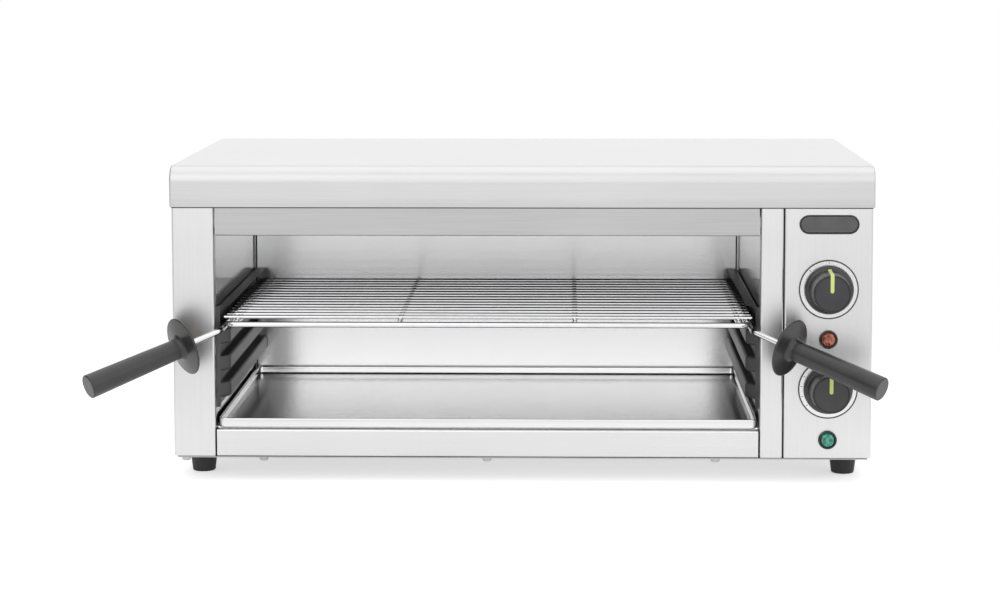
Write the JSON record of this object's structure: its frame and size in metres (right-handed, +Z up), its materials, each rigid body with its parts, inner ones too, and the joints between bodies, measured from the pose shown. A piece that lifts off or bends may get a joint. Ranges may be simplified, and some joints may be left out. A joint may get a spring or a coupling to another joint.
{
  "type": "cheese melter",
  "caption": "Countertop salamander grill: stainless casing open at the front, sliding wire rack with two guarded handles, crumb tray, two knobs and two signal lamps.",
  "frame": {"origin": "middle of the overall box, handles and cable gland included, at the level of the feet's undersides", "axes": "+Z up, the open front faces -Y, +X to the right seen from the front"},
  "size_m": [0.6758, 0.4386, 0.2765],
  "materials": {
    "outer_steel": "brushed stainless sheet",
    "base_steel": "mill-finish sheet",
    "liner_steel": "satin stainless sheet",
    "tray_steel": "satin stainless sheet",
    "rack_chrome": "bright chrome plate on drawn wire",
    "grip_phenolic": "moulded phenolic, satin",
    "knob_plastic": "moulded, fine matt texture",
    "pointer_plastic": "yellow-green inlay",
    "dial_aluminium": "satin anodised",
    "badge_face": "dark grey, bare",
    "lamp_housing": "black moulded",
    "lens_orange": "clear tinted moulding",
    "lens_green": "clear tinted moulding",
    "foot_rubber": "black moulded rubber",
    "screw_steel": "zinc plated",
    "element_sheath": "oxidised tube",
    "white_ceramic": "glazed ceramic and white moulded housings",
    "sensor_copper": "copper tube",
    "insert_brass": "turned brass",
    "gland_nylon": "black nylon"
  },
  "bodies": {
    "casing": {"top_cover": "outer_steel", "left_side_panel": "outer_steel", "right_side_panel": "outer_steel", "right_post": "outer_steel", "control_panel": "outer_steel", "rear_panel": "outer_steel", "upper_fascia": "outer_steel", "lower_crossbar": "outer_steel", "base_plate": "base_steel", "compartment_divider": "base_steel", "cavity_wall_left": "liner_steel", "cavity_wall_right": "liner_steel", "cavity_back": "liner_steel", "cavity_floor": "liner_steel", "ceiling_reflector": "liner_steel", "element_brackets": "liner_steel", "rack_guide_left": "liner_steel", "rack_guide_right": "liner_steel", "upper_dial_plate": "dial_aluminium", "lower_dial_plate": "dial_aluminium", "badge_plate": "badge_face", "heating_lamp_body": "lamp_housing", "power_lamp_body": "lamp_housing", "heating_lamp_lens": "lens_orange", "power_lamp_lens": "lens_green", "front_left_foot": "foot_rubber", "front_right_foot": "foot_rubber", "rear_left_foot": "foot_rubber", "rear_right_foot": "foot_rubber", "foot_screws": "screw_steel", "base_screws": "screw_steel", "cover_screws": "screw_steel", "rear_panel_screws": "screw_steel", "switch_screws": "screw_steel", "heating_elements": "element_sheath", "element_terminals": "white_ceramic", "selector_switch": "white_ceramic", "thermostat": "white_ceramic", "terminal_block": "white_ceramic", "thermostat_bulb": "sensor_copper", "cable_gland": "gland_nylon", "gland_nut": "gland_nylon"},
    "rack": {"rack_ring": "rack_chrome", "rack_cross_rods": "rack_chrome", "rack_wires": "rack_chrome", "left_handle_rod": "rack_chrome", "right_handle_rod": "rack_chrome", "left_grip": "grip_phenolic", "right_grip": "grip_phenolic", "left_insert": "insert_brass", "right_insert": "insert_brass"},
    "tray": {"crumb_tray": "tray_steel"},
    "upper_control": {"upper_knob": "knob_plastic", "upper_pointer": "pointer_plastic", "upper_spindle": "screw_steel"},
    "lower_control": {"lower_knob": "knob_plastic", "lower_pointer": "pointer_plastic", "lower_spindle": "screw_steel"}
  },
  "joints": [
    {"name": "rack_slide", "type": "slide", "parent": "casing", "child": "rack", "axis": [0, -1, 0], "range_m": [0, 0.2]},
    {"name": "tray_slide", "type": "slide", "parent": "casing", "child": "tray", "axis": [0, -1, 0], "range_m": [0, 0.24]},
    {"name": "upper_knob_turn", "type": "hinge", "parent": "casing", "child": "upper_control", "pos_m": [0.29575, -0.12771, 0.17], "axis": [0, 1, 0], "range_deg": [0, 270]},
    {"name": "lower_knob_turn", "type": "hinge", "parent": "casing", "child": "lower_control", "pos_m": [0.29575, -0.12771, 0.083], "axis": [0, 1, 0], "range_deg": [0, 300]}
  ]
}
